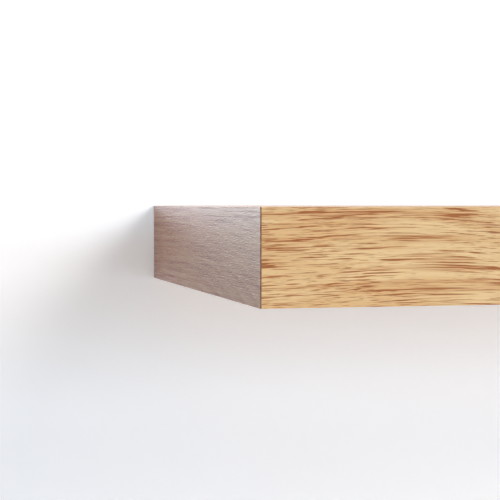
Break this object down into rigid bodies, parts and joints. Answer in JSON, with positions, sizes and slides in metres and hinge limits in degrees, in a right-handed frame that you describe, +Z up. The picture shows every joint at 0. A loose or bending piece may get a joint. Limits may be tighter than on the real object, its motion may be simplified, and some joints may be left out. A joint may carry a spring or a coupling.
{
  "type": "floating wall shelf",
  "caption": "Hollow-core floating shelf board in oak decor that slides onto the rods of a concealed wall bracket.",
  "frame": {"origin": "centre of the wall rail's back face, on the wall plane, at half the board's length and thickness", "axes": "+X along the shelf's length, +Y into the wall, +Z up through the board's thickness; the front faces -Y"},
  "size_m": [0.6, 0.281, 0.038],
  "materials": {
    "oak_laminate": "satin oak decor laminate, grain along the length",
    "oak_front_band": "satin oak decor edge band, grain along the length",
    "oak_end_band": "satin oak decor edge band, grain from back to front, dark cut edge",
    "fibreboard": "raw fibreboard",
    "chipboard": "raw chipboard",
    "honeycomb_paper": "raw brown paper",
    "bracket_steel": "zinc plated, dull",
    "rod_steel": "drawn and zinc plated",
    "weld_metal": "rippled weld bead, plated",
    "screw_steel": "yellow zinc plated",
    "staple_wire": "galvanised wire"
  },
  "bodies": {
    "wall_bracket": {"wall_rail": "bracket_steel", "support_rod_left": "rod_steel", "support_rod_right": "rod_steel", "rod_welds": "weld_metal", "wall_screws": "screw_steel"},
    "shelf_board": {"top_panel": "fibreboard", "bottom_panel": "fibreboard", "top_laminate": "oak_laminate", "bottom_laminate": "oak_laminate", "front_edge_band": "oak_front_band", "left_edge_band": "oak_end_band", "right_edge_band": "oak_end_band", "front_rail": "chipboard", "back_rail": "chipboard", "left_end_rail": "chipboard", "right_end_rail": "chipboard", "rod_block_left": "chipboard", "rod_block_right": "chipboard", "honeycomb_left": "honeycomb_paper", "honeycomb_middle": "honeycomb_paper", "honeycomb_right": "honeycomb_paper", "frame_staples": "staple_wire"}
  },
  "joints": [
    {"name": "shelf_slide", "type": "slide", "parent": "wall_bracket", "child": "shelf_board", "axis": [0, -1, 0], "range_m": [0, 0.15]}
  ]
}
